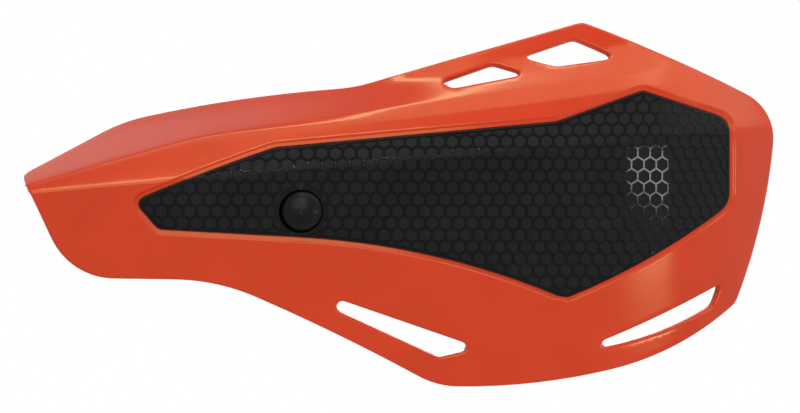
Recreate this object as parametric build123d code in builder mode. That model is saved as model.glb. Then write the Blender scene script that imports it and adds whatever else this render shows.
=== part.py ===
"""Hand guard for a 22.2 mm handlebar: folded shield, front panel, arm, clamp and fasteners.

Frame, in mm: the origin is the centre of the clamp bore, X runs along the bar towards its outer end,
Y points back to the rider, and Z points up.
"""

import os
from math import cos, radians, sin, sqrt, tan

from build123d import *
from build123d.topology import SkipClean

os.makedirs("parts", exist_ok=True)

# Where the shield stands on the bar
BAR_DIAMETER = 22.2
SHIELD_REACH = 82.0  # from the bar's axis forward to the shield's face at its bolt
SHIELD_DROP = 15.0  # from the bar's axis down to that point
BOLT_TILT = 12.0  # degrees that the shield bolt points down, square to the shield's lower face

# Shield walls
WALL = 3.2
POCKET_DEPTH = 1.3  # recess for the front panel
LIP_WIDTH = 1.6  # sloped lip round the recess, seen from the front
LIP_DEPTH = 0.7

# Shield form: slopes are depth per mm, and a soft radius says how wide each fold turns
LOWER_SLOPE = tan(radians(BOLT_TILT))
UPPER_SLOPE = tan(radians(20))
RIDGE_HEIGHT = 14.2  # above the bolt, where the ridge passes over it
RIDGE_RISE = 0.0875
RIDGE_SOFT = 3.0
BOW_X = 35.0  # the gentle bow of the whole front
BOW_SLOPE = 0.27
BOW_SOFT = 45.0
WRAP_X = 133.0  # the wrap round the outer end
WRAP_SLOPE = 1.1
WRAP_SOFT = 25.0
CREASE_START = (-88.4, 9.5)  # the top crease, which folds the flange back
CREASE_RISE_INNER = 0.29
CREASE_RISE_OUTER = 0.138
CREASE_BEND_X = -32.0
CREASE_BEND_SOFT = 12.0
FLANGE_SLOPE_INNER = 1.75
FLANGE_SLOPE_OUTER = 0.30
CREASE_SOFT_INNER = 1.2
CREASE_SOFT_OUTER = 6.0
FLANGE_FADE_X = 15.0  # where the steep flange fades into the vent lip
FLANGE_FADE_SOFT = 35.0
VENT_LIP_START = (10.0, 40.0)  # the lip above the upper vents turns forward again
VENT_LIP_RISE = 0.16
VENT_LIP_SLOPE = 0.45
VENT_LIP_SOFT = 4.0

# Sections that the form is skinned over: where they stand, and the heights at which each is drawn
FORM_X = (-97.0, 162.0)
FORM_SECTIONS = 30
LOW_HEIGHTS = (-66.0, -40.0, -18.0)
BELOW_RIDGE = (12.0, 7.0, 4.0, 2.0)
RIDGE_TO_CREASE = (0.0, 0.12, 0.25, 0.4, 0.55, 0.7, 0.82, 0.92)  # shares of the way up
ABOVE_CREASE = (0.0, 0.6, 1.2, 2.0, 3.0, 4.5, 6.5, 9.0, 12.0, 15.0, 18.0, 21.0, 25.0)
TOOL_REACH = 160.0  # longer than the shield is deep

# Shield outline, seen from the front, from the bolt's axis
INNER_TIP = (-93.0, 12.9)
TOP_BEND = (-60.3, 30.5)
TOP_DIP = (17.0, 41.7)
TOP_PEAK = (93.8, 63.5)
OUTER_TOP = (159.2, 34.5)
OUTER_LOW = (145.7, -30.7)
LOW_ARC = (126.3, -44.3)
LOW_JOIN = (103.7, -52.8)
LOW_CORNER = (45.0, -58.2)
LOW_DIP = (-28.3, -22.9)
INNER_LOW = (-76.7, -22.2)
TOP_BOW = 1.7  # how far an edge bows between its ends
PEAK_BOW = 1.3
OUTER_BOW = 2.9
LOW_BOW = 1.2
OUTLINE_ROUNDS = (
    (INNER_TIP, 2.0),
    (TOP_BEND, 60.0),
    (TOP_DIP, 55.0),
    (TOP_PEAK, 4.0),
    (OUTER_TOP, 17.0),
    (OUTER_LOW, 4.0),
    (LOW_CORNER, 28.0),
    (LOW_DIP, 70.0),
    (INNER_LOW, 23.0),
)

# Recess outline for the front panel
PANEL_TIP = (-55.8, 3.4)
PANEL_BEND = (-8.7, 21.7)
PANEL_NOTCH = (85.0, 30.3)
PANEL_PEAK = (114.0, 40.8)
PANEL_OUTER_TOP = (143.6, 31.2)
PANEL_OUTER_LOW = (143.7, 2.3)
PANEL_LOW = (87.7, -29.3)
PANEL_LOW_JOIN = (-0.3, -8.8)
PANEL_INNER_LOW = (-47.5, -6.2)
PANEL_TOP_BOW = 0.6
PANEL_LOW_BOW = 2.2
RECESS_ROUNDS = (
    (PANEL_TIP, 2.5),
    (PANEL_BEND, 4.0),
    (PANEL_NOTCH, 4.0),
    (PANEL_PEAK, 2.0),
    (PANEL_OUTER_TOP, 6.0),
    (PANEL_OUTER_LOW, 8.0),
    (PANEL_LOW, 5.0),
    (PANEL_INNER_LOW, 2.5),
)

# Vents, each given by its corners and their radii
UPPER_VENT_INNER = (((45.8, 43.8), 0.6), ((63.9, 49.6), 3.0), ((76.5, 46.3), 1.0), ((50.4, 41.4), 1.2))
UPPER_VENT_OUTER = (((72.9, 51.8), 0.8), ((91.3, 57.7), 2.0), ((106.9, 51.7), 1.2), ((84.7, 48.7), 3.0))
LOWER_VENT_INNER = (((12.8, -29.4), 1.6), ((59.3, -45.5), 1.5), ((45.8, -48.6), 1.5), ((11.1, -32.6), 1.6))
LOWER_VENT_OUTER = (((100.1, -43.4), 0.8), ((141.3, -23.8), 0.8), ((138.5, -31.5), 2.0), ((100.8, -45.4), 0.8))
LOWER_VENT_BOWS = (0.75, 1.75)  # of the outer one's upper and lower edges

# Front panel
PANEL_GAP = 0.3  # room at the panel's edge
GLUE_GAP = 0.05

# Shield bolt, washer and nut
HEAD_DIAMETER = 14.3
HEAD_HEIGHT = 4.2
HEAD_RIM = 0.8
HEAD_ROOM = 0.2  # gap round the head in the panel
SEAT_EXTRA = 0.4  # flat for the head, below the recess floor
THREAD_DIAMETER = 6.0
THREAD_ROOM = 0.05  # between a thread and its nut
HOLE_ROOM = 0.2  # between a shank and its hole
NECK_SIDE = 6.0
NECK_LENGTH = 3.0
BOLT_END = 2.5  # thread past the nut
WASHER_DIAMETER = 12.0
WASHER_THICKNESS = 1.6
NUT_ACROSS = 10.0
NUT_HEIGHT = 5.0
LOCK_HEIGHT = 2.0  # domed collar of the lock nut
LOCK_DIAMETER = 9.0

# Boss behind the shield, with a groove for the arm's key
BOSS_DIAMETER = 24.0
BOSS_HEIGHT = 4.0
KEY_WIDTH = 8.0
KEY_LENGTH = 18.0
KEY_HEIGHT = 1.8
KEY_ROOM = 0.15
GUSSET_COUNT = 4
GUSSET_START = 45.0  # degrees from the bar's direction to the first gusset
GUSSET_THICKNESS = 2.2
GUSSET_REACH = 24.0  # from the bolt's axis to a gusset's outer end

# Arm and clamp
ARM_WIDTH = 22.0
ARM_HEIGHT = 22.0
ARM_ROOF = 4.0
ARM_SIDE = 4.0
ARM_ROUND = 2.0
PAD_THICKNESS = 6.0
CLAMP_WIDTH = 24.0
CLAMP_WALL = 6.0
CLAMP_GAP = 2.0
EAR_DEPTH = 12.0  # from the bar's axis to an ear's outer face
EAR_SPREAD = 16.5  # from the bar's axis to a clamp bolt
EAR_HEIGHT = 22.5
EAR_ROUND = 3.0
CLAMP_BOLT_LENGTH = 25.0
CLAMP_HEAD_DIAMETER = 10.0
CLAMP_HEAD_HEIGHT = 6.0
SOCKET_ACROSS = 5.0
SOCKET_DEPTH = 3.0
NUT_ROOM = 0.15
EDGE_ROUND = 0.5

# Planes: FRONT is the view from the front, and BOLT has the shield bolt's axis as its forward normal
BOLT_POINT = Vector(0, -SHIELD_REACH, -SHIELD_DROP)
TILT_COS = cos(radians(BOLT_TILT))
TILT_SIN = sin(radians(BOLT_TILT))
FRONT = Plane(origin=BOLT_POINT, x_dir=(1, 0, 0), z_dir=(0, -1, 0))
BOLT = Plane(origin=BOLT_POINT, x_dir=(1, 0, 0), z_dir=(0, -TILT_COS, -TILT_SIN))
BOLT_SECTION = Plane(origin=BOLT_POINT, x_dir=(1, 0, 0), z_dir=(0, TILT_SIN, -TILT_COS))
BACKWARD = (0, 1, 0)


def soft_fold(distance, soft):
    """Nothing before a fold line, the full distance after it, and a rounded turn between."""
    return (distance + sqrt(distance**2 + soft**2)) / 2


def fade(distance, soft):
    """Zero before a line, one after it."""
    return (1 + distance / sqrt(distance**2 + soft**2)) / 2


def ridge_at(x):
    return RIDGE_HEIGHT + RIDGE_RISE * x


def crease_at(x):
    start_x, start_height = CREASE_START
    bend = (CREASE_RISE_INNER - CREASE_RISE_OUTER) * soft_fold(x - CREASE_BEND_X, CREASE_BEND_SOFT)
    return start_height + CREASE_RISE_INNER * (x - start_x) - bend


def vent_lip_at(x):
    start_x, start_height = VENT_LIP_START
    return start_height + VENT_LIP_RISE * (x - start_x)


def form_depth(x, height):
    """How far the shield's face lies behind its foremost plane."""
    outer = fade(x - FLANGE_FADE_X, FLANGE_FADE_SOFT)
    flange_slope = FLANGE_SLOPE_INNER + (FLANGE_SLOPE_OUTER - FLANGE_SLOPE_INNER) * outer
    crease_soft = CREASE_SOFT_INNER + (CREASE_SOFT_OUTER - CREASE_SOFT_INNER) * outer
    above_ridge = height - ridge_at(x)
    depth = BOW_SLOPE * soft_fold(x - BOW_X, BOW_SOFT)
    depth += WRAP_SLOPE * soft_fold(x - WRAP_X, WRAP_SOFT)
    depth += LOWER_SLOPE * soft_fold(-above_ridge, RIDGE_SOFT)
    depth += UPPER_SLOPE * soft_fold(above_ridge, RIDGE_SOFT)
    depth += flange_slope * soft_fold(height - crease_at(x), crease_soft)
    depth -= VENT_LIP_SLOPE * soft_fold(height - vent_lip_at(x), VENT_LIP_SOFT)
    return depth


def section_heights(x):
    """Heights at which a section is drawn, close together where it folds."""
    ridge = ridge_at(x)
    crease = crease_at(x)
    heights = list(LOW_HEIGHTS)
    heights += [ridge - below for below in BELOW_RIDGE]
    heights += [ridge + share * (crease - ridge) for share in RIDGE_TO_CREASE]
    heights += [crease + above for above in ABOVE_CREASE]
    return heights


def section_points(x):
    rest = form_depth(0, 0)
    return [BOLT_POINT + Vector(x, form_depth(x, z) - rest, z) for z in section_heights(x)]


def shared_parameters(points):
    """Chord lengths along one section, from 0 to 1, which every section then uses."""
    lengths = [0.0]
    for first, second in zip(points, points[1:]):
        lengths.append(lengths[-1] + (second - first).length)
    return [length / lengths[-1] for length in lengths]


def make_form():
    """The shield's front face, larger than the shield, as a smooth skin over upright sections."""
    parameters = shared_parameters(section_points(0))
    first, last = FORM_X
    step = (last - first) / (FORM_SECTIONS - 1)
    sections = []
    for number in range(FORM_SECTIONS):
        points = section_points(first + number * step)
        sections.append(Wire([Edge.make_spline(points, parameters=parameters)]))
    return Shell.make_loft(sections).face()


def round_corners(sketch, corners):
    """Round the corners of a sketch, given as (corner, radius) pairs."""
    for corner, radius in corners:
        fillet(sketch.vertices().sort_by_distance(Vector(*corner))[0], radius)


def patch(profile):
    """The piece of the form inside a profile drawn in the front view, with an edge for each of its lines."""
    prism = extrude(FRONT * profile, amount=TOOL_REACH, both=True)
    with SkipClean():
        return (prism & form).face()


def layer(face, depth):
    """Back face and side walls of a layer of even depth behind a piece of the form."""
    faces = Solid.thicken(face, depth, normal_override=BACKWARD).faces()
    back = faces.filter_by(GeomType.OFFSET)[0]
    front = faces.sort_by_distance(face.center())[0]
    return back, [wall for wall in faces if wall is not back and wall is not front]


def strips(first, second):
    """Ruled faces between two faces whose edges run side by side."""
    faces = []
    for edge in first.edges():
        mate = second.edges().sort_by_distance(edge.center())[0]
        if (edge @ 0 - mate @ 0).length > (edge @ 0 - mate @ 1).length:
            mate = mate.reversed()
        faces.append(Face.make_surface_from_curves(edge, mate))
    return faces


form = make_form()

with BuildSketch() as outline:
    with BuildLine():
        Line(INNER_TIP, TOP_BEND)
        SagittaArc(TOP_BEND, TOP_DIP, TOP_BOW)
        Line(TOP_DIP, TOP_PEAK)
        SagittaArc(TOP_PEAK, OUTER_TOP, PEAK_BOW)
        SagittaArc(OUTER_TOP, OUTER_LOW, OUTER_BOW)
        sweep = ThreePointArc(OUTER_LOW, LOW_ARC, LOW_JOIN)
        TangentArc(LOW_JOIN, LOW_CORNER, tangent=sweep % 1)
        SagittaArc(LOW_CORNER, LOW_DIP, -LOW_BOW)
        Line(LOW_DIP, INNER_LOW)
        Line(INNER_LOW, INNER_TIP)
    make_face()
    round_corners(outline, OUTLINE_ROUNDS)

with BuildSketch() as recess:
    with BuildLine():
        SagittaArc(PANEL_TIP, PANEL_BEND, PANEL_TOP_BOW)
        Line(PANEL_BEND, PANEL_NOTCH)
        Line(PANEL_NOTCH, PANEL_PEAK)
        Line(PANEL_PEAK, PANEL_OUTER_TOP)
        Line(PANEL_OUTER_TOP, PANEL_OUTER_LOW)
        SagittaArc(PANEL_OUTER_LOW, PANEL_LOW, PANEL_LOW_BOW)
        foot = Line(PANEL_INNER_LOW, PANEL_LOW_JOIN)
        TangentArc(PANEL_LOW_JOIN, PANEL_LOW, tangent=foot % 1)
        Line(PANEL_INNER_LOW, PANEL_TIP)
    make_face()
    round_corners(recess, RECESS_ROUNDS)

with BuildSketch() as vents:
    for vent in (UPPER_VENT_INNER, UPPER_VENT_OUTER, LOWER_VENT_INNER):
        with BuildLine():
            Polyline(*[corner for corner, radius in vent], close=True)
        make_face()
        round_corners(vents, vent)
    start, outer_end, low_end, low_start = [corner for corner, radius in LOWER_VENT_OUTER]
    upper_bow, lower_bow = LOWER_VENT_BOWS
    with BuildLine():
        SagittaArc(start, outer_end, -upper_bow)
        Line(outer_end, low_end)
        SagittaArc(low_end, low_start, lower_bow)
        Line(low_start, start)
    make_face()
    round_corners(vents, LOWER_VENT_OUTER)

# Shield: the front round the recess, the recess and the back, joined by walls square to the form
lip_profile = offset(recess.sketch, LIP_WIDTH, mode=Mode.PRIVATE)
shield_front = patch(outline.sketch - vents.sketch - lip_profile)
shield_back, shield_walls = layer(patch(outline.sketch - vents.sketch), WALL)
recess_top = patch(recess.sketch)
lip_foot = layer(recess_top, LIP_DEPTH)[0]
recess_floor = layer(recess_top, POCKET_DEPTH)[0]
lip = strips(patch(lip_profile), lip_foot)
recess_walls = strips(lip_foot, recess_floor)
shield = Solid(Shell([shield_front, shield_back, recess_floor] + shield_walls + lip + recess_walls))

# Boss with gussets, ending inside the shield's wall
BOSS_BACK = WALL + BOSS_HEIGHT
wall_middle = form.moved(Location((0, (POCKET_DEPTH + WALL) / 2, 0)))
behind_wall = Solid.extrude(wall_middle, Vector(0, TOOL_REACH, 0))
with BuildPart() as boss:
    with BuildSketch(BOLT.offset(-BOSS_BACK)):
        Circle(BOSS_DIAMETER / 2)
    extrude(amount=BOSS_BACK)
    with BuildSketch(BOLT.offset(-BOSS_BACK + BOSS_HEIGHT / 2)):
        with PolarLocations(0, GUSSET_COUNT, start_angle=GUSSET_START):
            Rectangle(GUSSET_REACH, GUSSET_THICKNESS, align=(Align.MIN, Align.CENTER))
    extrude(amount=BOSS_BACK)
    add(behind_wall, mode=Mode.INTERSECT)

with BuildPart() as guard_shell:
    add(shield)
    add(boss.part)
    with BuildSketch(BOLT.offset(-POCKET_DEPTH - SEAT_EXTRA)):
        Circle(HEAD_DIAMETER / 2 + HEAD_ROOM)
    extrude(amount=HEAD_HEIGHT, mode=Mode.SUBTRACT)
    with BuildSketch(BOLT.offset(-BOSS_BACK)):
        Rectangle(KEY_WIDTH + 2 * KEY_ROOM, KEY_LENGTH + 2 * KEY_ROOM)
    extrude(amount=KEY_HEIGHT + KEY_ROOM, mode=Mode.SUBTRACT)
    with BuildSketch(BOLT.offset(-BOSS_BACK)):
        Rectangle(NECK_SIDE + 2 * HOLE_ROOM, NECK_SIDE + 2 * HOLE_ROOM)
    extrude(amount=BOSS_BACK, mode=Mode.SUBTRACT)
guard_shell.part.label = "guard_shell"
export_step(guard_shell.part, "parts/guard_shell.step")

# Front panel, glued into the recess
panel_front = patch(offset(recess.sketch, -PANEL_GAP, mode=Mode.PRIVATE))
with BuildPart() as honeycomb_panel:
    thicken(panel_front, POCKET_DEPTH - GLUE_GAP, normal_override=BACKWARD)
    with BuildSketch(BOLT):
        Circle(HEAD_DIAMETER / 2 + HEAD_ROOM)
    extrude(amount=HEAD_HEIGHT, both=True, mode=Mode.SUBTRACT)
honeycomb_panel.part.label = "honeycomb_panel"
export_step(honeycomb_panel.part, "parts/honeycomb_panel.step")

# Shield bolt: domed head, square neck and shank
SEAT = -POCKET_DEPTH - SEAT_EXTRA  # along the bolt's axis, from the form forward
ARM_FACE = -BOSS_BACK
PAD_BACK = ARM_FACE - PAD_THICKNESS
NUT_SEAT = PAD_BACK - WASHER_THICKNESS
NUT_END = NUT_SEAT - NUT_HEIGHT - LOCK_HEIGHT
with BuildPart() as shield_bolt:
    with BuildSketch(BOLT_SECTION):
        with BuildLine():
            Line((0, SEAT), (HEAD_DIAMETER / 2, SEAT))
            Line((HEAD_DIAMETER / 2, SEAT), (HEAD_DIAMETER / 2, SEAT + HEAD_RIM))
            TangentArc(
                (0, SEAT + HEAD_HEIGHT), (HEAD_DIAMETER / 2, SEAT + HEAD_RIM), tangent=(1, 0)
            )
            Line((0, SEAT + HEAD_HEIGHT), (0, SEAT))
        make_face()
    revolve(axis=Axis(BOLT_POINT, BOLT.z_dir))
    with BuildSketch(BOLT.offset(SEAT)):
        Rectangle(NECK_SIDE, NECK_SIDE)
    extrude(amount=-NECK_LENGTH)
    with BuildSketch(BOLT.offset(SEAT)):
        Circle(THREAD_DIAMETER / 2)
    extrude(amount=NUT_END - BOLT_END - SEAT)
    chamfer(shield_bolt.faces().sort_by(Axis(BOLT_POINT, BOLT.z_dir))[0].edges(), EDGE_ROUND)
shield_bolt.part.label = "shield_bolt"
export_step(shield_bolt.part, "parts/shield_bolt.step")

with BuildPart() as shield_washer:
    with BuildSketch(BOLT.offset(PAD_BACK)):
        Circle(WASHER_DIAMETER / 2)
        Circle(THREAD_DIAMETER / 2 + HOLE_ROOM, mode=Mode.SUBTRACT)
    extrude(amount=-WASHER_THICKNESS)
shield_washer.part.label = "shield_washer"
export_step(shield_washer.part, "parts/shield_washer.step")

with BuildPart() as shield_nut:
    with BuildSketch(BOLT.offset(NUT_SEAT)):
        RegularPolygon(NUT_ACROSS / 2, 6, major_radius=False)
    extrude(amount=-NUT_HEIGHT)
    with BuildSketch(BOLT.offset(NUT_SEAT - NUT_HEIGHT)):
        Circle(LOCK_DIAMETER / 2)
    extrude(amount=-LOCK_HEIGHT)
    fillet(shield_nut.faces().sort_by(Axis(BOLT_POINT, BOLT.z_dir))[0].edges(), LOCK_HEIGHT / 2)
    with BuildSketch(BOLT.offset(NUT_SEAT)):
        Circle(THREAD_DIAMETER / 2 + THREAD_ROOM)
    extrude(amount=-NUT_HEIGHT - LOCK_HEIGHT, mode=Mode.SUBTRACT)
shield_nut.part.label = "shield_nut"
export_step(shield_nut.part, "parts/shield_nut.step")

# Arm: a channel, open below, from the boss to the front half of the clamp
BAR_ALONG_BOLT = BOLT.to_local_coords(Vector(0, 0, 0)).Z
ARM_END = BAR_ALONG_BOLT + BAR_DIAMETER / 2
CHANNEL_END = BAR_ALONG_BOLT + BAR_DIAMETER / 2 + CLAMP_WALL
EAR_BOLTS = ((0, EAR_SPREAD), (0, -EAR_SPREAD))

with BuildSketch(Plane.YZ) as clamp_profile:
    Rectangle(2 * EAR_DEPTH, 2 * EAR_HEIGHT)
    fillet(clamp_profile.vertices(), EAR_ROUND)
    Circle(BAR_DIAMETER / 2 + CLAMP_WALL)
    Circle(BAR_DIAMETER / 2, mode=Mode.SUBTRACT)

with BuildPart() as mount_bracket:
    with BuildSketch(BOLT.offset(ARM_FACE)):
        Rectangle(ARM_WIDTH, ARM_HEIGHT)
    extrude(amount=ARM_END - ARM_FACE)
    fillet(mount_bracket.edges().filter_by(Axis(BOLT_POINT, BOLT.z_dir)), ARM_ROUND)
    with BuildSketch(BOLT.offset(ARM_FACE)):
        Circle(BOSS_DIAMETER / 2)
    extrude(amount=-PAD_THICKNESS)
    with BuildSketch(BOLT.offset(ARM_FACE)):
        Rectangle(KEY_WIDTH, KEY_LENGTH)
    extrude(amount=KEY_HEIGHT)
    with BuildSketch(BOLT.offset(PAD_BACK)):
        with Locations((0, ARM_HEIGHT / 2 - ARM_ROOF)):
            Rectangle(ARM_WIDTH - 2 * ARM_SIDE, ARM_HEIGHT, align=(Align.CENTER, Align.MAX))
    extrude(amount=CHANNEL_END - PAD_BACK, mode=Mode.SUBTRACT)
    extrude(clamp_profile.sketch, amount=CLAMP_WIDTH / 2, both=True)
    with BuildSketch(Plane.XZ.offset(CLAMP_GAP / 2)):
        Rectangle(2 * CLAMP_WIDTH, 4 * EAR_HEIGHT)
    extrude(amount=-2 * EAR_DEPTH - CLAMP_GAP, mode=Mode.SUBTRACT)
    with BuildSketch(Plane.YZ):
        Circle(BAR_DIAMETER / 2)
    extrude(amount=CLAMP_WIDTH, both=True, mode=Mode.SUBTRACT)
    with BuildSketch(BOLT.offset(ARM_FACE + KEY_HEIGHT)):
        Circle(THREAD_DIAMETER / 2 + HOLE_ROOM)
    extrude(amount=-PAD_THICKNESS - KEY_HEIGHT, mode=Mode.SUBTRACT)
    with BuildSketch(Plane.XZ):
        with Locations(*EAR_BOLTS):
            Circle(THREAD_DIAMETER / 2 + HOLE_ROOM)
    extrude(amount=EAR_DEPTH, mode=Mode.SUBTRACT)
    with BuildSketch(Plane.XZ.offset(EAR_DEPTH - NUT_HEIGHT)):
        with Locations(*EAR_BOLTS):
            RegularPolygon(NUT_ACROSS / 2 + NUT_ROOM, 6, major_radius=False)
    extrude(amount=2 * NUT_HEIGHT, mode=Mode.SUBTRACT)
mount_bracket.part.label = "mount_bracket"
export_step(mount_bracket.part, "parts/mount_bracket.step")

with BuildPart() as clamp_cap:
    extrude(clamp_profile.sketch, amount=CLAMP_WIDTH / 2, both=True)
    with BuildSketch(Plane.XZ.offset(-CLAMP_GAP / 2)):
        Rectangle(2 * CLAMP_WIDTH, 4 * EAR_HEIGHT)
    extrude(amount=2 * EAR_DEPTH, mode=Mode.SUBTRACT)
    with BuildSketch(Plane.XZ):
        with Locations(*EAR_BOLTS):
            Circle(THREAD_DIAMETER / 2 + HOLE_ROOM)
    extrude(amount=-EAR_DEPTH, mode=Mode.SUBTRACT)
    with BuildSketch(Plane.XZ.offset(-EAR_DEPTH)):
        with Locations(*EAR_BOLTS):
            Circle(WASHER_DIAMETER / 2 + HOLE_ROOM)
    extrude(amount=-CLAMP_WALL, mode=Mode.SUBTRACT)
clamp_cap.part.label = "clamp_cap"
export_step(clamp_cap.part, "parts/clamp_cap.step")

# Clamp bolts, washers and nuts, two of each
HEAD_SEAT = EAR_DEPTH + WASHER_THICKNESS
with BuildPart() as clamp_bolts:
    with BuildSketch(Plane.XZ.offset(-HEAD_SEAT)):
        with Locations(*EAR_BOLTS):
            Circle(CLAMP_HEAD_DIAMETER / 2)
    extrude(amount=-CLAMP_HEAD_HEIGHT)
    fillet(clamp_bolts.faces().group_by(Axis.Y)[-1].edges(), EDGE_ROUND)
    with BuildSketch(Plane.XZ.offset(-HEAD_SEAT - CLAMP_HEAD_HEIGHT)):
        with Locations(*EAR_BOLTS):
            RegularPolygon(SOCKET_ACROSS / 2, 6, major_radius=False)
    extrude(amount=SOCKET_DEPTH, mode=Mode.SUBTRACT)
    with BuildSketch(Plane.XZ.offset(-HEAD_SEAT)):
        with Locations(*EAR_BOLTS):
            Circle(THREAD_DIAMETER / 2)
    extrude(amount=CLAMP_BOLT_LENGTH)
clamp_bolts.part.label = "clamp_bolts"
export_step(clamp_bolts.part, "parts/clamp_bolts.step")

with BuildPart() as clamp_washers:
    with BuildSketch(Plane.XZ.offset(-EAR_DEPTH)):
        with Locations(*EAR_BOLTS):
            Circle(WASHER_DIAMETER / 2)
            Circle(THREAD_DIAMETER / 2 + HOLE_ROOM, mode=Mode.SUBTRACT)
    extrude(amount=-WASHER_THICKNESS)
clamp_washers.part.label = "clamp_washers"
export_step(clamp_washers.part, "parts/clamp_washers.step")

with BuildPart() as clamp_nuts:
    with BuildSketch(Plane.XZ.offset(EAR_DEPTH - NUT_HEIGHT)):
        with Locations(*EAR_BOLTS):
            RegularPolygon(NUT_ACROSS / 2, 6, major_radius=False)
            Circle(THREAD_DIAMETER / 2 + THREAD_ROOM, mode=Mode.SUBTRACT)
    extrude(amount=NUT_HEIGHT)
clamp_nuts.part.label = "clamp_nuts"
export_step(clamp_nuts.part, "parts/clamp_nuts.step")
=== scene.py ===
"""Dresses the hand guard: rounded shield, honeycomb front panel, finishes, light and camera."""

import math
from typing import NamedTuple

import bmesh
import bpy
import numpy as np
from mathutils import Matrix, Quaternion, Vector
from mathutils.geometry import delaunay_2d_cdt
from mathutils.kdtree import KDTree


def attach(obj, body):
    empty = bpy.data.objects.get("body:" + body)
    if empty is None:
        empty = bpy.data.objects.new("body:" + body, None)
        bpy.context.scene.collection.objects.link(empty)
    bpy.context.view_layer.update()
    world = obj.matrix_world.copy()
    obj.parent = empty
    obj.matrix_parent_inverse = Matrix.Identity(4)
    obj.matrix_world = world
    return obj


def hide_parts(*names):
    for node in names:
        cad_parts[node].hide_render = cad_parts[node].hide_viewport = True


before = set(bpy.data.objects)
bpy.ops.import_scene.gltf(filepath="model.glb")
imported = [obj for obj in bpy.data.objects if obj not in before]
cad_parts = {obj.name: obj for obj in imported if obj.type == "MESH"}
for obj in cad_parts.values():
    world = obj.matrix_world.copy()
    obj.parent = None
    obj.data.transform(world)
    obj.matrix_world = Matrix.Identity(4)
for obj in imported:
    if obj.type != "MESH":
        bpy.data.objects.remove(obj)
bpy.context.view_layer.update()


class Softness(NamedTuple):
    """How softly each fold turns, in mm, and how far the crease opens into a band, from 0 to 1."""

    ridge: float
    crease_inner: float
    crease_outer: float
    vent_lip: float
    band: float


# The shield's form, in mm from the point where the bolt's axis meets it: the fold lines are the part's
MM_PER_M = 1000
BOLT_POINT = np.array((0.0, -82.0, -15.0))
BOLT_TILT = math.radians(12)
WALL = 3.2
LOWER_SLOPE = math.tan(BOLT_TILT)
UPPER_SLOPE = math.tan(math.radians(20))
RIDGE_HEIGHT = 14.2
RIDGE_RISE = 0.0875
BOW_X = 35.0
BOW_SLOPE = 0.27
BOW_SOFT = 45.0
WRAP_X = 133.0
WRAP_SLOPE = 1.1
WRAP_SOFT = 25.0
CREASE_START = (-88.4, 9.5)
CREASE_RISE_INNER = 0.29
CREASE_RISE_OUTER = 0.138
CREASE_BEND_X = -32.0
CREASE_BEND_SOFT = 12.0
FLANGE_SLOPE_INNER = 1.75
FLANGE_SLOPE_OUTER = 0.30
FLANGE_FADE_X = 15.0
FLANGE_FADE_SOFT = 35.0
VENT_LIP_START = (10.0, 40.0)
VENT_LIP_RISE = 0.16
VENT_LIP_SLOPE = 0.45
SLOPE_STEP = 0.01  # over which the form's slope is measured

# The solid turns softly, and the skin's front is crisper and opens the crease into a band
SOLID_SOFT = Softness(ridge=3.0, crease_inner=1.2, crease_outer=6.0, vent_lip=4.0, band=0)
SKIN_SOFT = Softness(ridge=0.6, crease_inner=0.7, crease_outer=0.8, vent_lip=2.0, band=1)
BAND_START = -34.0
BAND_START_SOFT = 4.0
BAND_END = 60.0
BAND_END_SOFT = 30.0
BAND_RISE = 0.061
BAND_ABOVE = 0.1  # shares of the band above and below the crease
BAND_BELOW = 0.9

# Shield edges
RIM_ROUND = 0.9
BACK_ROUND = 0.5
ROUND_STEPS = 5
POCKET_DEPTH = 1.3  # recess for the panel
LIP_WIDTH = 1.6  # lip round the recess: a shoulder, a soft step and a slope
LIP_DEPTH = 0.7
LIP_STEP = 0.7
LIP_STEP_DEPTH = 0.5
LIP_STEP_SHARES = (0.0, 0.15, 0.3, 0.5, 0.7, 0.85, 1.0)
LIP_SHOULDER = (1.2, 0.8, 0.4)
SEAT_RADIUS = 7.35  # flat for the bolt's head, in the recess floor
SEAT_EXTRA = 0.4
SEAT_WIDTH = 4.5
SEAT_POINTS = 72
BOSS_REACH = 30.0  # from the bolt's axis to the gussets' ends
BOSS_START = 0.25  # behind the wall, where the boss's faces begin

# Panel edges and honeycomb
PANEL_DEPTH = 1.25
PANEL_ROUND = 0.55
HOLE_ROUND = 0.15
HOLE_TAPER = 0.25
BORDER = 0.95  # plain border round the cells
HOLE_BORDER = 0.35
CELL_PITCH = 4.63
CELL_DEPTH = 0.22
CELL_ROWS = range(-12, 13)
CELL_COLUMNS = range(-16, 40)
ROW_PITCH = CELL_PITCH * math.sqrt(3) / 2
LINE_HALF = 0.46
LINE_SLOPE = 0.16
MATTE_FROM = 0.9  # share of the way down a cell at which its matt floor starts

# Nets of triangles
EDGE_STEP = 0.8
FINE_STEP = 0.1
LOOP_SMOOTHING = 2
LOOP_POINTS = 5  # loops of this many points or fewer are left out
SHIELD_LOOPS = 6  # outline, recess and four vents
PANEL_LOOPS = 2  # outline and bolt hole
FRONT_REACH = 0.35  # corners this near the form count as the front's
CORNER_DIGITS = 3  # decimals to which two CAD corners agree when they are one
SPLIT_DIGITS = 6
FRONT_SPACING = 1.15
BACK_SPACING = 2.0
FLOOR_SPACING = 3.0
PANEL_BACK_SPACING = 5.0
ROW_SHARE = 0.866  # rows of even triangles, as a share of their spacing
EDGE_ROOM = 0.6  # kept clear beside a loop, as a share of the spacing
FOLD_ROWS = (-2.4, -1.5, -0.9, -0.5, -0.22, 0.0, 0.22, 0.5, 0.9, 1.5, 2.4)
FOLD_REACH = 2.9
FOLD_ROOM = 2.1  # a row is left out where the folds lie closer than this many times its distance
PANEL_ROWS = (-1.0, -0.5, -0.2, 0.0, 0.2, 0.5, 1.0)
SLIVER = 0.001
NET_MERGE = 1e-5
ON_BORDER = 1e-4
SKIN_MERGE = 2e-6  # in metres
NODE_MERGE = 1e-6
SKIN_SHARP = math.radians(40)
NODE_SHARP = math.radians(30)


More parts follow.
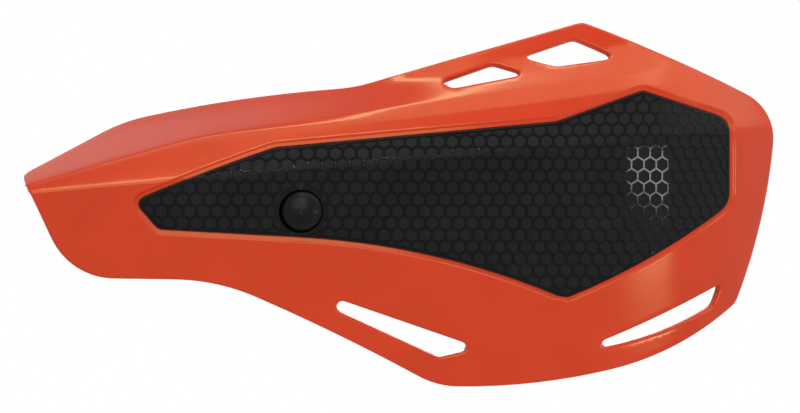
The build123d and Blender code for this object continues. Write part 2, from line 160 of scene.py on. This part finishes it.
def soft_fold(distance, soft):
    """Nothing before a fold line, the full distance after it, and a rounded turn between."""
    return (distance + np.sqrt(distance**2 + soft**2)) / 2


def fade(distance, soft):
    """Zero before a line, one after it."""
    return (1 + distance / np.sqrt(distance**2 + soft**2)) / 2


def ridge_at(x):
    return RIDGE_HEIGHT + RIDGE_RISE * x


def crease_at(x):
    start_x, start_height = CREASE_START
    bend = (CREASE_RISE_INNER - CREASE_RISE_OUTER) * soft_fold(x - CREASE_BEND_X, CREASE_BEND_SOFT)
    return start_height + CREASE_RISE_INNER * (x - start_x) - bend


def band_at(x):
    """Width of the band into which the crease opens towards the outer end."""
    return BAND_RISE * (soft_fold(x - BAND_START, BAND_START_SOFT) - soft_fold(x - BAND_END, BAND_END_SOFT))


def fall(x, height, soft):
    """How far the form lies behind its foremost plane."""
    outer = fade(x - FLANGE_FADE_X, FLANGE_FADE_SOFT)
    flange_slope = FLANGE_SLOPE_INNER + (FLANGE_SLOPE_OUTER - FLANGE_SLOPE_INNER) * outer
    crease_soft = soft.crease_inner + (soft.crease_outer - soft.crease_inner) * outer
    above_ridge = height - ridge_at(x)
    above_crease = height - crease_at(x)
    band = soft.band * band_at(x)
    lip_x, lip_height = VENT_LIP_START
    above_lip = height - lip_height - VENT_LIP_RISE * (x - lip_x)
    depth = BOW_SLOPE * soft_fold(x - BOW_X, BOW_SOFT) + WRAP_SLOPE * soft_fold(x - WRAP_X, WRAP_SOFT)
    depth = depth + LOWER_SLOPE * soft_fold(-above_ridge, soft.ridge)
    depth = depth + UPPER_SLOPE * soft_fold(above_ridge, soft.ridge)
    depth = depth + flange_slope / 2 * soft_fold(above_crease - BAND_ABOVE * band, crease_soft)
    depth = depth + flange_slope / 2 * soft_fold(above_crease + BAND_BELOW * band, crease_soft)
    return depth - VENT_LIP_SLOPE * soft_fold(above_lip, soft.vent_lip)


def form_depth(x, height, soft):
    """How far the form falls back from the bolt's point."""
    return fall(x, height, soft) - fall(0.0, 0.0, soft)


def back_of(x, height):
    """The form's direction into the wall."""
    slope_x = form_depth(x + SLOPE_STEP, height, SOLID_SOFT) - form_depth(x - SLOPE_STEP, height, SOLID_SOFT)
    slope_z = form_depth(x, height + SLOPE_STEP, SOLID_SOFT) - form_depth(x, height - SLOPE_STEP, SOLID_SOFT)
    back = np.stack([-slope_x, np.full(len(x), 2 * SLOPE_STEP), -slope_z], 1)
    return back / np.linalg.norm(back, axis=1)[:, None]


def place(flat, depth):
    """Points of the front view, set on the form and then moved back into it by a depth, in metres.

    The front is crisp, and the back is as soft as the solid.
    """
    x, height = flat[:, 0], flat[:, 1]
    share = np.clip(depth / WALL, 0, 1)
    y = form_depth(x, height, SKIN_SOFT) * (1 - share) + form_depth(x, height, SOLID_SOFT) * share
    base = np.stack([x, y, height], 1)
    return (base + back_of(x, height) * depth.reshape(-1, 1) + BOLT_POINT) / MM_PER_M


def cad_points(node):
    """A CAD node's corners in mm from the bolt's point, how deep each lies, and the node's triangles."""
    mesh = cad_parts[node].data
    points = np.empty(len(mesh.vertices) * 3)
    mesh.vertices.foreach_get("co", points)
    points = points.reshape(-1, 3) * MM_PER_M - BOLT_POINT
    depth = points[:, 1] - form_depth(points[:, 0], points[:, 2], SOLID_SOFT)
    depth *= back_of(points[:, 0], points[:, 2])[:, 1]
    return points, depth, [tuple(polygon.vertices) for polygon in mesh.polygons]


def front_edges(node):
    """The corners of a CAD node, and for each corner on its front face's border the corners next to it."""
    points, depth, triangles = cad_points(node)
    keys = [tuple(key) for key in np.round(points, CORNER_DIGITS)]
    first = {}
    for index, key in enumerate(keys):
        first.setdefault(key, index)
    same = [first[key] for key in keys]
    used = {}
    for triangle in triangles:
        if all(abs(depth[corner]) < FRONT_REACH for corner in triangle):
            ring = [same[corner] for corner in triangle]
            for start, end in zip(ring, ring[1:] + ring[:1]):
                if start != end:
                    edge = (min(start, end), max(start, end))
                    used[edge] = used.get(edge, 0) + 1
    following = {}
    for (start, end), count in used.items():
        if count == 1:
            following.setdefault(start, []).append(end)
            following.setdefault(end, []).append(start)
    return points, following


def front_loops(node, count):
    """The largest loops round a CAD node's front face, evenly spaced in the front view, largest first."""
    points, following = front_edges(node)
    loops = []
    while following:
        start = next(iter(following))
        walk = [start]
        while True:
            ahead = following.get(walk[-1])
            if not ahead:
                break
            step = ahead.pop()
            following[step].remove(walk[-1])
            if not ahead:
                del following[walk[-1]]
            if not following[step]:
                del following[step]
            if step == start:
                break
            walk.append(step)
        if len(walk) > LOOP_POINTS:
            loops.append(points[walk][:, (0, 2)])
    loops = sorted(loops, key=lambda loop: -abs(area(loop)))
    return [even_loop(loop) for loop in loops[:count]]


def area(loop):
    """Area inside a loop, negative where it runs clockwise."""
    after = np.roll(loop, -1, 0)
    return np.sum(loop[:, 0] * after[:, 1] - after[:, 0] * loop[:, 1]) / 2


def even_loop(loop, step=EDGE_STEP):
    """The loop with even spacing, running anticlockwise."""
    if area(loop) < 0:
        loop = loop[::-1]
    closed = np.vstack([loop, loop[:1]])
    along = np.concatenate([[0], np.cumsum(np.linalg.norm(np.diff(closed, axis=0), axis=1))])
    count = int(along[-1] / step)
    places = np.arange(count) * along[-1] / count
    even = np.stack([np.interp(places, along, closed[:, axis]) for axis in (0, 1)], 1)
    for _ in range(LOOP_SMOOTHING):
        even = (np.roll(even, 1, 0) + 2 * even + np.roll(even, -1, 0)) / 4
    return even


def outward(loop):
    """Directions out of an anticlockwise loop, one for each of its points."""
    tangent = np.roll(loop, -1, 0) - np.roll(loop, 1, 0)
    tangent /= np.linalg.norm(tangent, axis=1)[:, None]
    return np.stack([tangent[:, 1], -tangent[:, 0]], 1)


def inside(points, loop):
    """Which points lie inside a loop."""
    found = np.zeros(len(points), bool)
    x, y = points[:, 0], points[:, 1]
    for (ax, ay), (bx, by) in zip(loop, np.roll(loop, -1, 0)):
        if ay != by:
            found ^= ((ay > y) != (by > y)) & (x < (bx - ax) * (y - ay) / (by - ay) + ax)
    return found


def between(points, outer, holes):
    """Which points lie inside the outer loop and outside its holes."""
    found = inside(points, outer)
    for hole in holes:
        found &= ~inside(points, hole)
    return found


def distance_to(points, loops):
    """Distance from each point to the nearest point of any of the loops."""
    every = np.vstack(loops)
    tree = KDTree(len(every))
    for index, (x, y) in enumerate(every):
        tree.insert((x, y, 0), index)
    tree.balance()
    return np.array([tree.find((x, y, 0))[2] for x, y in points])


def split_at(loop, into, inset, points):
    """The loop and its inward directions, split wherever a net's points lie on its inset border."""
    count = len(loop)
    border = loop + into * inset
    steps = np.roll(border, -1, 0) - border
    found = []
    for point in points:
        share = ((point - border) * steps).sum(1) / (steps**2).sum(1)
        off = np.linalg.norm(border + np.clip(share, 0, 1)[:, None] * steps - point, axis=1)
        nearest = off.argmin()
        if off[nearest] < ON_BORDER:
            found.append(nearest + np.clip(share[nearest], 0, 1))
    found = np.unique(np.mod(np.round(found, SPLIT_DIGITS), count))
    before = found.astype(int)
    after = (before + 1) % count
    part = (found - before)[:, None]
    return loop[before] * (1 - part) + loop[after] * part, into[before] * (1 - part) + into[after] * part


def front_round(radius):
    """A quarter round from the front face to the wall, as (inset, depth) pairs."""
    angles = [math.pi / 2 * step / ROUND_STEPS for step in range(ROUND_STEPS + 1)]
    return [(radius * (1 - math.sin(angle)), radius * (1 - math.cos(angle))) for angle in angles]


def back_round(radius, depth):
    """A quarter round from the wall to the back face at a depth, as (inset, depth) pairs."""
    angles = [math.pi / 2 * step / ROUND_STEPS for step in range(ROUND_STEPS + 1)]
    return [(radius * (1 - math.cos(angle)), depth - radius * (1 - math.sin(angle))) for angle in angles]


def ring_edges(start, count):
    """Edges round a ring of points that are numbered from a start."""
    return [(start + index, start + (index + 1) % count) for index in range(count)]


def fold_rows(low, high, spacing):
    """Points in rows along the folds, close together where the form turns."""
    x = np.arange(low, high, spacing)
    ridge, crease, band = ridge_at(x), crease_at(x), band_at(x)
    rows = []
    for away in FOLD_ROWS:
        room = FOLD_ROOM * away
        clear = crease - ridge > -room
        rows.append(np.stack([x, crease + BAND_ABOVE * band + away], 1)[clear & (band > -room)])
        rows.append(np.stack([x, crease - BAND_BELOW * band + away], 1)[clear & (band > room)])
        rows.append(np.stack([x, ridge + away], 1)[crease - ridge > room])
    return np.vstack(rows)


def even_points(outer, holes, spacing):
    """Points at an even spacing between loops, with rows along the folds."""
    low, high = outer.min(0), outer.max(0)
    rows = []
    for row, height in enumerate(np.arange(low[1], high[1], spacing * ROW_SHARE)):
        columns = np.arange(low[0] + (row % 2) * spacing / 2, high[0], spacing)
        rows.append(np.stack([columns, np.full(len(columns), height)], 1))
    points = np.vstack(rows)
    off_ridge = np.abs(points[:, 1] - ridge_at(points[:, 0]))
    off_crease = points[:, 1] - crease_at(points[:, 0])
    off_crease = np.maximum(off_crease, -off_crease - band_at(points[:, 0]))
    points = points[np.minimum(off_ridge, off_crease) > FOLD_REACH]
    points = np.vstack([points, fold_rows(low[0], high[0], spacing)])
    points = points[between(points, outer, holes)]
    return points[distance_to(points, [outer, *holes]) > spacing * EDGE_ROOM]


def net(outer, holes, inner, inner_edges=()):
    """Triangles between an outer loop and its holes, over given points and edges inside."""
    points, edges = [], []
    for loop in (outer, *holes):
        edges += ring_edges(len(points), len(loop))
        points += [tuple(point) for point in loop]
    start = len(points)
    points += [tuple(point) for point in inner]
    edges += [(start + first, start + second) for first, second in inner_edges]
    flat, _, triangles, *_ = delaunay_2d_cdt([Vector(point) for point in points], edges, [], 0, NET_MERGE)
    flat = np.array(flat)
    triangles = np.array(triangles)
    keep = between(flat[triangles].mean(1), outer, holes)
    sides = flat[np.roll(triangles, -1, 1)] - flat[triangles]
    longest = np.linalg.norm(sides, axis=2).max(1)
    twice_area = np.abs(sides[:, 0, 0] * sides[:, 1, 1] - sides[:, 0, 1] * sides[:, 1, 0])
    keep &= twice_area > SLIVER * longest
    return flat, [tuple(triangle) for triangle in triangles[keep]]


class Skin:
    """Vertices and faces of one moulded piece."""

    def __init__(self):
        self.points, self.faces, self.slots = [], [], []

    def add(self, points, faces, slots=None):
        start = len(self.points)
        self.points += [tuple(point) for point in points]
        self.faces += [tuple(start + corner for corner in face) for face in faces]
        self.slots += slots or [0] * len(faces)

    def edge(self, loop, into, profile):
        """A strip round a loop, through rings given as (inset, depth)."""
        count = len(loop)
        rings = [place(loop + into * inset, np.full(count, depth)) for inset, depth in profile]
        faces = []
        for ring in range(len(rings) - 1):
            low, high = ring * count, (ring + 1) * count
            for start, end in ring_edges(0, count):
                faces.append((low + start, low + end, high + end, high + start))
        self.add(np.vstack(rings), faces)

    def fill(self, outer, holes, depth, spacing):
        """An even net of triangles over the form, between loops."""
        flat, triangles = net(outer, holes, even_points(outer, holes, spacing))
        self.add(place(flat, np.full(len(flat), depth)), triangles)

    def make(self, name, materials):
        mesh = bpy.data.meshes.new(name)
        mesh.from_pydata(self.points, [], self.faces)
        for material in materials:
            mesh.materials.append(material)
        mesh.polygons.foreach_set("material_index", self.slots)
        shape = bmesh.new()
        shape.from_mesh(mesh)
        bmesh.ops.remove_doubles(shape, verts=shape.verts, dist=SKIN_MERGE)
        bmesh.ops.recalc_face_normals(shape, faces=shape.faces)
        for face in shape.faces:
            face.smooth = True
        for edge in shape.edges:
            if edge.is_manifold and edge.calc_face_angle() > SKIN_SHARP:
                edge.smooth = False
        shape.to_mesh(mesh)
        shape.free()
        piece = bpy.data.objects.new(name, mesh)
        bpy.context.collection.objects.link(piece)
        return piece


# Finishes
MOTTLE_SCALE = 60
PATCH_SCALE = 150
GRAIN_HEIGHT = 0.0002  # in metres
GRAIN_DETAIL = 2.0
MOTTLE_DETAIL = 4.0
MOTTLE_RANGE = (0.3, 0.7)


def noise(nodes, links, where, scale, detail=MOTTLE_DETAIL):
    texture = nodes.new("ShaderNodeTexNoise")
    texture.inputs["Scale"].default_value = scale
    texture.inputs["Detail"].default_value = detail
    links.new(where, texture.inputs["Vector"])
    return texture.outputs["Fac"]


def ramp(nodes, links, value, colours):
    mix = nodes.new("ShaderNodeValToRGB")
    for stop, position, colour in zip(mix.color_ramp.elements, MOTTLE_RANGE, colours):
        stop.position = position
        stop.color = (*colour, 1)
    links.new(value, mix.inputs["Fac"])
    return mix.outputs["Color"]


def finish_of(name, colours, roughness, grain, bump, **sockets):
    """A finish with a mottled colour and roughness and a fine grain."""
    material = bpy.data.materials.new(name)
    material.use_nodes = True
    nodes, links = material.node_tree.nodes, material.node_tree.links
    shader = nodes["Principled BSDF"]
    where = nodes.new("ShaderNodeTexCoord").outputs["Object"]
    mottle = noise(nodes, links, where, MOTTLE_SCALE)
    links.new(ramp(nodes, links, mottle, colours), shader.inputs["Base Color"])
    spread = nodes.new("ShaderNodeMapRange")
    spread.inputs["To Min"].default_value, spread.inputs["To Max"].default_value = roughness
    links.new(noise(nodes, links, where, PATCH_SCALE), spread.inputs["Value"])
    links.new(spread.outputs["Result"], shader.inputs["Roughness"])
    relief = nodes.new("ShaderNodeBump")
    relief.inputs["Strength"].default_value = bump
    relief.inputs["Distance"].default_value = GRAIN_HEIGHT
    links.new(noise(nodes, links, where, grain, GRAIN_DETAIL), relief.inputs["Height"])
    links.new(relief.outputs["Normal"], shader.inputs["Normal"])
    for socket, value in sockets.items():
        shader.inputs[socket.replace("_", " ")].default_value = value
    return material


orange = finish_of(
    "shield_orange",
    colours=((0.50, 0.018, 0.005), (0.54, 0.022, 0.007)),
    roughness=(0.15, 0.19),
    grain=900,
    bump=0.03,
    Specular_IOR_Level=0.52,
    Specular_Tint=(1.0, 0.9, 0.4, 1.0),
)
gloss_black = finish_of(
    "panel_gloss",
    colours=((0.003, 0.003, 0.003), (0.005, 0.005, 0.005)),
    roughness=(0.05, 0.08),
    grain=900,
    bump=0.02,
    Specular_IOR_Level=0.1,
)
matte_cell = finish_of(
    "panel_cells",
    colours=((0.004, 0.004, 0.0045), (0.007, 0.007, 0.0075)),
    roughness=(0.50, 0.62),
    grain=4000,
    bump=0.15,
    Specular_IOR_Level=0.12,
)
dome_black = finish_of(
    "bolt_black",
    colours=((0.001, 0.001, 0.001), (0.002, 0.002, 0.002)),
    roughness=(0.28, 0.34),
    grain=2500,
    bump=0.05,
    Specular_IOR_Level=0.14,
)
grain_black = finish_of(
    "bracket_black",
    colours=((0.016, 0.016, 0.017), (0.026, 0.026, 0.027)),
    roughness=(0.45, 0.6),
    grain=2200,
    bump=0.25,
)
plated = finish_of(
    "plated_steel",
    colours=((0.50, 0.50, 0.51), (0.62, 0.62, 0.63)),
    roughness=(0.28, 0.42),
    grain=3000,
    bump=0.08,
    Metallic=1.0,
)


# Shield, with rounded edges round the loops of the CAD shield's front
def lip_profile():
    """The recess's lip and wall, from its shoulder inwards, measured from the recess."""
    shoulder = [(LIP_WIDTH + away, 0) for away in LIP_SHOULDER]
    step = [
        (LIP_WIDTH - LIP_STEP * share, LIP_STEP_DEPTH * (3 - 2 * share) * share**2)
        for share in LIP_STEP_SHARES
    ]
    return shoulder + step + [(0, LIP_DEPTH), (0, POCKET_DEPTH)]


def add_walls(shell):
    """The shield's front, back, rims and vents, and the lip of its recess, whose outline this returns."""
    outline, lip, *vents = front_loops("guard_shell", SHIELD_LOOPS)
    recess = lip - outward(lip) * LIP_WIDTH
    inward = -outward(outline)
    rim = front_round(RIM_ROUND) + back_round(BACK_ROUND, WALL)
    shell.edge(outline, inward, rim)
    for vent in vents:
        shell.edge(vent, outward(vent), rim)
    shell.edge(recess, outward(lip), lip_profile())
    front_holes = [vent + outward(vent) * RIM_ROUND for vent in vents]
    front_holes.append(lip + outward(lip) * LIP_SHOULDER[0])
    shell.fill(outline + inward * RIM_ROUND, front_holes, 0.0, FRONT_SPACING)
    back_holes = [vent + outward(vent) * BACK_ROUND for vent in vents]
    shell.fill(outline + inward * BACK_ROUND, back_holes, WALL, BACK_SPACING)
    return recess


def add_recess_floor(shell, recess):
    """The recess's floor, with the flat that the bolt's head sits on."""
    angles = np.arange(SEAT_POINTS) * math.tau / SEAT_POINTS
    seat = SEAT_RADIUS * np.stack([np.cos(angles), math.cos(BOLT_TILT) * np.sin(angles)], 1)
    seat[:, 1] += POCKET_DEPTH * math.sin(BOLT_TILT)
    seat_depth = POCKET_DEPTH + SEAT_EXTRA
    shell.fill(recess, [seat], POCKET_DEPTH, FLOOR_SPACING)
    shell.edge(seat, -outward(seat), [(0, POCKET_DEPTH), (0, seat_depth), (SEAT_WIDTH, seat_depth)])


def add_boss(shell):
    """The boss and gussets, as the CAD shield has them."""
    points, depth, triangles = cad_points("guard_shell")
    near_bolt = np.hypot(points[:, 0], points[:, 2]) < BOSS_REACH
    behind = depth > WALL + BOSS_START
    kept = [
        triangle
        for triangle in triangles
        if any(behind[corner] for corner in triangle) and all(near_bolt[corner] for corner in triangle)
    ]
    shell.add((points + BOLT_POINT) / MM_PER_M, kept)


shell = Skin()
recess = add_walls(shell)
add_recess_floor(shell, recess)
add_boss(shell)
guard_shell = shell.make("guard_shell_skin", [orange])
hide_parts("guard_shell")
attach(guard_shell, "root")

# Honeycomb panel: the cells lie evenly along the curved face, so their places are found by arc length
SURVEY_STEP = 0.5
SURVEY_X = np.linspace(-100, 165, 531)
SURVEY_HEIGHTS = np.linspace(-45, 55, 201)
TILT_STEP = 0.05
survey_slope = np.gradient(form_depth(SURVEY_X, np.zeros_like(SURVEY_X), SKIN_SOFT), SURVEY_X)
SURVEY_U = np.concatenate([[0], np.cumsum(np.diff(SURVEY_X) * np.hypot(1, survey_slope)[1:])])
SURVEY_U -= np.interp(0, SURVEY_X, SURVEY_U)
CELL_SIDES = [np.array((math.cos(angle), math.sin(angle))) for angle in (0, math.pi / 3, 2 * math.pi / 3)]


def up_the_face(x):
    """Arc length up the face at each surveyed height, from the bolt's height, one row for each x."""
    column = x[:, None]
    above = form_depth(column, SURVEY_HEIGHTS[None, :] + TILT_STEP, SKIN_SOFT)
    below = form_depth(column, SURVEY_HEIGHTS[None, :] - TILT_STEP, SKIN_SOFT)
    stretch = np.hypot(1, (above - below) / (2 * TILT_STEP))
    steps = (stretch[:, 1:] + stretch[:, :-1]) / 2 * SURVEY_STEP
    along = np.concatenate([np.zeros((len(x), 1)), np.cumsum(steps, 1)], 1)
    zero = np.array([np.interp(0, SURVEY_HEIGHTS, row) for row in along])
    return along - zero[:, None]


def unroll(flat):
    """Points of the front view as lengths along and up the face."""
    along = up_the_face(flat[:, 0])
    v = [np.interp(height, SURVEY_HEIGHTS, row) for height, row in zip(flat[:, 1], along)]
    return np.stack([np.interp(flat[:, 0], SURVEY_X, SURVEY_U), v], 1)


def roll_on(unrolled):
    """Lengths along and up the face as points of the front view."""
    x = np.interp(unrolled[:, 0], SURVEY_U, SURVEY_X)
    along = up_the_face(x)
    height = [np.interp(v, row, SURVEY_HEIGHTS) for v, row in zip(unrolled[:, 1], along)]
    return np.stack([x, height], 1)


def from_line(unrolled):
    """Distance from each point to the middle of the nearest honeycomb line."""
    best = np.full(len(unrolled), -np.inf)
    near_row = np.round(unrolled[:, 1] / ROW_PITCH)
    for row_step in (-1, 0, 1):
        row = near_row + row_step
        offset = np.where(row % 2 == 1, CELL_PITCH / 2, 0)
        column = np.round((unrolled[:, 0] - offset) / CELL_PITCH)
        centre = np.stack([column * CELL_PITCH + offset, row * ROW_PITCH], 1)
        across = np.max([np.abs((unrolled - centre) @ side) for side in CELL_SIDES], 0)
        best = np.maximum(best, CELL_PITCH / 2 - across)
    return best


def honeycomb():
    """Points and edges of the cells in the front view: each one's rim, floor and middle."""
    angles = [math.radians(30 + 60 * corner) for corner in range(6)]
    hexagon = np.array([(math.cos(angle), math.sin(angle)) for angle in angles]) / math.cos(math.radians(30))
    points, edges = [], []
    for row in CELL_ROWS:
        for column in CELL_COLUMNS:
            centre = np.array((column * CELL_PITCH + (row % 2) * CELL_PITCH / 2, row * ROW_PITCH))
            for inset in (LINE_HALF - LINE_SLOPE, LINE_HALF):
                edges += ring_edges(len(points), 6)
                points += list(centre + hexagon * (CELL_PITCH / 2 - inset))
            points.append(centre)
    return roll_on(np.array(points)), edges


def front_net(outline, hole, borders):
    """Triangles of the panel's front, over the cells, the borders and rows along the ridge."""
    cells, cell_edges = honeycomb()
    near = inside(cells, outline)
    points = [tuple(point) for point in cells]
    edges = [(start, end) for start, end in cell_edges if near[start] or near[end]]
    for loop in borders:
        edges += ring_edges(len(points), len(loop))
        points += [tuple(point) for point in loop]
    used = sorted({corner for edge in edges for corner in edge} | set(np.flatnonzero(near).tolist()))
    renumber = {old: new for new, old in enumerate(used)}
    points = [points[old] for old in used]
    edges = [(renumber[start], renumber[end]) for start, end in edges]
    x = np.arange(outline[:, 0].min(), outline[:, 0].max(), EDGE_STEP)
    for away in PANEL_ROWS:
        row = np.stack([x, ridge_at(x) + away], 1)
        points += [tuple(point) for point in row[inside(row, borders[-1])]]
    return net(outline, [hole], points, edges)


def sunk_share(flat, outline):
    """How far down a cell each point of the panel lies, from 0 on a line or border to 1 on its floor."""
    rim_distance = distance_to(flat, [even_loop(outline, FINE_STEP)])
    hole_distance = np.hypot(flat[:, 0], flat[:, 1]) - SEAT_RADIUS + BORDER - HOLE_BORDER
    edge_distance = np.minimum(rim_distance, hole_distance)
    sunk = np.clip((from_line(unroll(flat)) - (LINE_HALF - LINE_SLOPE)) / LINE_SLOPE, 0, 1)
    return sunk * np.clip((edge_distance - BORDER) / LINE_SLOPE, 0, 1)


def add_panel(panel):
    """The panel's rims and back, and its front with the cells sunk into it."""
    outline, hole = front_loops("honeycomb_panel", PANEL_LOOPS)
    inward, hole_out = -outward(outline), outward(hole)
    borders = [outline + inward * BORDER, outline + inward * (BORDER + LINE_SLOPE)]
    flat, triangles = front_net(outline + inward * PANEL_ROUND, hole + hole_out * HOLE_ROUND, borders)
    sunk = sunk_share(flat, outline)
    matte = [int(share > MATTE_FROM) for share in sunk[np.array(triangles)].min(1)]
    outline, inward = split_at(outline, inward, PANEL_ROUND, flat)
    hole, hole_out = split_at(hole, hole_out, HOLE_ROUND, flat)
    panel.edge(outline, inward, front_round(PANEL_ROUND) + [(0, PANEL_DEPTH)])
    panel.edge(hole, hole_out, front_round(HOLE_ROUND) + [(-HOLE_TAPER, PANEL_DEPTH)])
    panel.fill(outline, [hole - hole_out * HOLE_TAPER], PANEL_DEPTH, PANEL_BACK_SPACING)
    panel.add(place(flat, sunk * CELL_DEPTH), triangles, matte)


panel = Skin()
add_panel(panel)
honeycomb_panel = panel.make("honeycomb_panel_skin", [gloss_black, matte_cell])
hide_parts("honeycomb_panel")
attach(honeycomb_panel, "root")


# Arm, clamp and fasteners: the CAD nodes, welded and smoothed
def smooth_group():
    group = bpy.data.node_groups.new("smooth_by_angle", "GeometryNodeTree")
    group.interface.new_socket("Geometry", in_out="INPUT", socket_type="NodeSocketGeometry")
    group.interface.new_socket("Geometry", in_out="OUTPUT", socket_type="NodeSocketGeometry")
    start = group.nodes.new("NodeGroupInput")
    end = group.nodes.new("NodeGroupOutput")
    faces = group.nodes.new("GeometryNodeSetShadeSmooth")
    edges = group.nodes.new("GeometryNodeSetShadeSmooth")
    edges.domain = "EDGE"
    angle = group.nodes.new("GeometryNodeInputMeshEdgeAngle")
    below = group.nodes.new("FunctionNodeCompare")
    below.operation = "LESS_THAN"
    below.inputs["B"].default_value = NODE_SHARP
    group.links.new(start.outputs[0], faces.inputs["Geometry"])
    group.links.new(faces.outputs["Geometry"], edges.inputs["Geometry"])
    group.links.new(angle.outputs["Unsigned Angle"], below.inputs["A"])
    group.links.new(below.outputs["Result"], edges.inputs["Shade Smooth"])
    group.links.new(edges.outputs["Geometry"], end.inputs[0])
    return group


SMOOTH = smooth_group()
NODE_FINISH = {
    "shield_bolt": dome_black,
    "shield_washer": plated,
    "shield_nut": plated,
    "mount_bracket": grain_black,
    "clamp_cap": grain_black,
    "clamp_bolts": plated,
    "clamp_washers": plated,
    "clamp_nuts": plated,
}
for node, finish in NODE_FINISH.items():
    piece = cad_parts[node]
    piece.data.materials.clear()
    piece.data.materials.append(finish)
    piece.modifiers.new("weld", "WELD").merge_threshold = NODE_MERGE
    piece.modifiers.new("smooth", "NODES").node_group = SMOOTH

# Sizes and places of the floor, lamps and camera, in metres
FLOOR_SIZE = 3.0
FLOOR_MIDDLE = (0.03, 0.3, -0.30)
FLOOR_FADE = (0.4, 1.3)  # from the floor's middle, where it starts and ends fading to white
WORLD_LIGHT = 0.35
WHITE = (1, 1, 1, 1)
MIDDLE = (0.033, -0.06, -0.013)
RIDGE_MIDDLE = (0.02, -0.082, 0.0)
PANEL_END = (0.117, -0.0557, -0.0018)
LENS = 800
FRAME_WIDTH = 0.266
FRAME_MIDDLE = (0.03284, -0.07, -0.0133)


def seen_rays(nodes, links):
    """1 for the rays that show the background, 0 for those that carry its light."""
    path = nodes.new("ShaderNodeLightPath")
    seen = path.outputs["Is Camera Ray"]
    for ray in ("Is Glossy Ray", "Is Transmission Ray"):
        either = nodes.new("ShaderNodeMath")
        either.operation = "MAXIMUM"
        links.new(seen, either.inputs[0])
        links.new(path.outputs[ray], either.inputs[1])
        seen = either.outputs["Value"]
    return seen


def fade_to_white(material):
    """Let the floor fade to the white background away from its middle."""
    nodes, links = material.node_tree.nodes, material.node_tree.links
    away = nodes.new("ShaderNodeVectorMath")
    away.operation = "LENGTH"
    spread = nodes.new("ShaderNodeMapRange")
    spread.interpolation_type = "SMOOTHSTEP"
    spread.inputs["From Min"].default_value, spread.inputs["From Max"].default_value = FLOOR_FADE
    share = nodes.new("ShaderNodeMath")
    share.operation = "MULTIPLY"
    bright = nodes.new("ShaderNodeEmission")
    bright.inputs["Color"].default_value = WHITE
    choose = nodes.new("ShaderNodeMixShader")
    surface = nodes["Material Output"].inputs["Surface"]
    links.new(nodes.new("ShaderNodeTexCoord").outputs["Object"], away.inputs[0])
    links.new(away.outputs["Value"], spread.inputs["Value"])
    links.new(spread.outputs["Result"], share.inputs[0])
    links.new(seen_rays(nodes, links), share.inputs[1])
    links.new(share.outputs["Value"], choose.inputs["Fac"])
    links.new(surface.links[0].from_socket, choose.inputs[1])
    links.new(bright.outputs["Emission"], choose.inputs[2])
    links.new(choose.outputs["Shader"], surface)


def lamp(name, location, target, width, height, power, roll=0.0):
    """A rectangular lamp aimed at a target, rolled by some degrees."""
    light = bpy.data.lights.new(name, "AREA")
    light.shape = "RECTANGLE"
    light.size, light.size_y, light.energy = width, height, power
    thing = bpy.data.objects.new(name, light)
    thing.location = location
    aim = (Vector(target) - Vector(location)).to_track_quat("-Z", "Y")
    thing.rotation_euler = (aim @ Quaternion((0, 0, 1), math.radians(roll))).to_euler()
    bpy.context.collection.objects.link(thing)


def light_world(scene):
    """Plain light from all round, and white where the background is seen."""
    world = bpy.data.worlds.new("studio")
    scene.world = world
    world.use_nodes = True
    nodes, links = world.node_tree.nodes, world.node_tree.links
    plain = nodes["Background"]
    plain.inputs["Color"].default_value = WHITE
    plain.inputs["Strength"].default_value = WORLD_LIGHT
    white = nodes.new("ShaderNodeBackground")
    white.inputs["Color"].default_value = WHITE
    choose = nodes.new("ShaderNodeMixShader")
    links.new(seen_rays(nodes, links), choose.inputs["Fac"])
    links.new(plain.outputs["Background"], choose.inputs[1])
    links.new(white.outputs["Background"], choose.inputs[2])
    links.new(choose.outputs["Shader"], nodes["World Output"].inputs["Surface"])


# Floor
bpy.ops.mesh.primitive_plane_add(size=FLOOR_SIZE, location=FLOOR_MIDDLE)
floor = bpy.context.object
floor.name = "floor"
pale = finish_of(
    "floor_white",
    colours=((0.78, 0.78, 0.78), (0.80, 0.80, 0.80)),
    roughness=(0.6, 0.7),
    grain=40,
    bump=0.0,
)
floor.data.materials.append(pale)
fade_to_white(pale)

# Lamps
lamp("top", (0.28, -0.45, 0.82), MIDDLE, width=1.0, height=0.5, power=2.2)
lamp("outer", (0.90, -0.15, 0.60), MIDDLE, width=0.7, height=0.7, power=2.0)
lamp("overhead", (0.05, -0.22, 0.85), MIDDLE, width=0.6, height=0.06, power=1.5)
lamp("front", (-0.1, -1.6, 0.35), MIDDLE, width=1.8, height=1.2, power=12.5)
lamp("ridge", (0.08, -0.90, 0.53), RIDGE_MIDDLE, width=0.45, height=0.04, power=0.9)
lamp("side", (0.594, -0.364, -0.192), PANEL_END, width=0.17, height=0.022, power=0.3, roll=8.0)
lamp("back", (0.05, 1.3, 0.75), MIDDLE, width=1.4, height=0.7, power=13.0)

# Background and camera
scene = bpy.context.scene
light_world(scene)
camera = bpy.data.cameras.new("camera")
camera.lens = LENS
eye = bpy.data.objects.new("camera", camera)
eye_x, eye_y, eye_z = FRAME_MIDDLE
eye.location = (eye_x, eye_y - FRAME_WIDTH * LENS / camera.sensor_width, eye_z)
eye.rotation_euler = (math.pi / 2, 0, 0)
bpy.context.collection.objects.link(eye)
scene.camera = eye
scene.view_settings.view_transform = "Standard"
